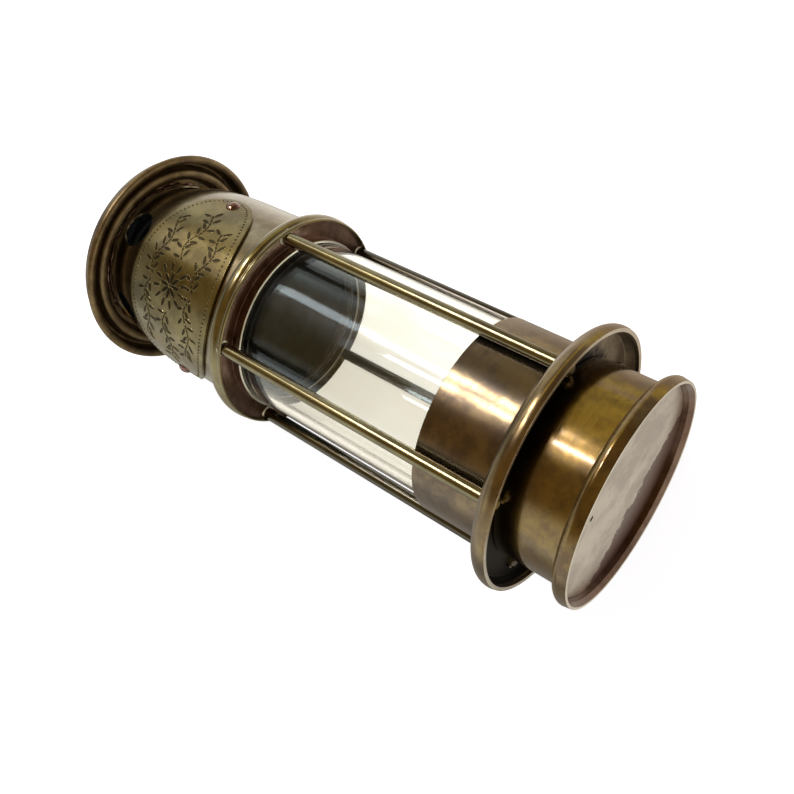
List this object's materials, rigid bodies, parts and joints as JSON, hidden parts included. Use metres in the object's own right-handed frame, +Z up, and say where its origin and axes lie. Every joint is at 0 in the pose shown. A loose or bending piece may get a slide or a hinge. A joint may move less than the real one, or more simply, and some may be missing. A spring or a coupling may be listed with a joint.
{
  "type": "miners lamp",
  "caption": "Small brass miner's oil lamp: glass chimney caged between pillars, vented bonnet with a riveted plate, dished cap, folding ring and pull-out tank.",
  "frame": {"origin": "middle of the plane that the foot stands on", "axes": "+Z up along the lamp's axis from the foot to the cap; the ring lies folded towards +Y; the name plate faces between -X and -Y"},
  "size_m": [0.0709, 0.0708, 0.1831],
  "materials": {
    "polished_brass": "antiqued and polished, brown-gold",
    "golden_brass": "antiqued and polished, olive-gold",
    "dark_brass": "dark patina, satin",
    "tinned_plate": "tinned, satin",
    "copper_rivet": "polished copper alloy",
    "clear_glass": "clear, polished",
    "cotton_wick": "woven cotton",
    "cork_gasket": "matt cork composition"
  },
  "bodies": {
    "cage": {"base_ring": "polished_brass", "tank_socket": "dark_brass", "lower_sleeve": "polished_brass", "glass_gallery": "dark_brass", "lower_gasket": "cork_gasket", "glass_chimney": "clear_glass", "upper_gasket": "cork_gasket", "upper_ring": "golden_brass", "pillar_1": "golden_brass", "pillar_2": "golden_brass", "pillar_3": "golden_brass", "pillar_4": "golden_brass", "pillar_5": "golden_brass", "pillar_washers": "tinned_plate", "bonnet": "dark_brass", "name_plate": "golden_brass", "plate_rivets": "copper_rivet", "cap": "polished_brass", "hanger_boss": "golden_brass"},
    "tank": {"oil_tank": "polished_brass", "tank_bottom": "tinned_plate", "tank_deck": "dark_brass", "filler_neck": "dark_brass"},
    "burner": {"burner_plug": "golden_brass", "wick_tube": "golden_brass"},
    "wick": {"wick": "cotton_wick"},
    "swivel": {"swivel_eye": "golden_brass", "swivel_washer": "tinned_plate"},
    "ring": {"hanging_ring": "golden_brass"}
  },
  "joints": [
    {"name": "tank_draw", "type": "slide", "parent": "cage", "child": "tank", "axis": [0, 0, -1], "range_m": [0, 0.036]},
    {"name": "burner_lift", "type": "slide", "parent": "tank", "child": "burner", "axis": [0, 0, 1], "range_m": [0, 0.012]},
    {"name": "wick_draw", "type": "slide", "parent": "burner", "child": "wick", "axis": [0, 0, 1], "range_m": [-0.002, 0.004]},
    {"name": "hanger_turn", "type": "hinge", "parent": "cage", "child": "swivel", "pos_m": [0, 0, 0.1755], "axis": [0, 0, 1], "continuous": true},
    {"name": "ring_fold", "type": "hinge", "parent": "swivel", "child": "ring", "pos_m": [0, 0, 0.1791], "axis": [1, 0, 0], "range_deg": [0, 236]}
  ]
}
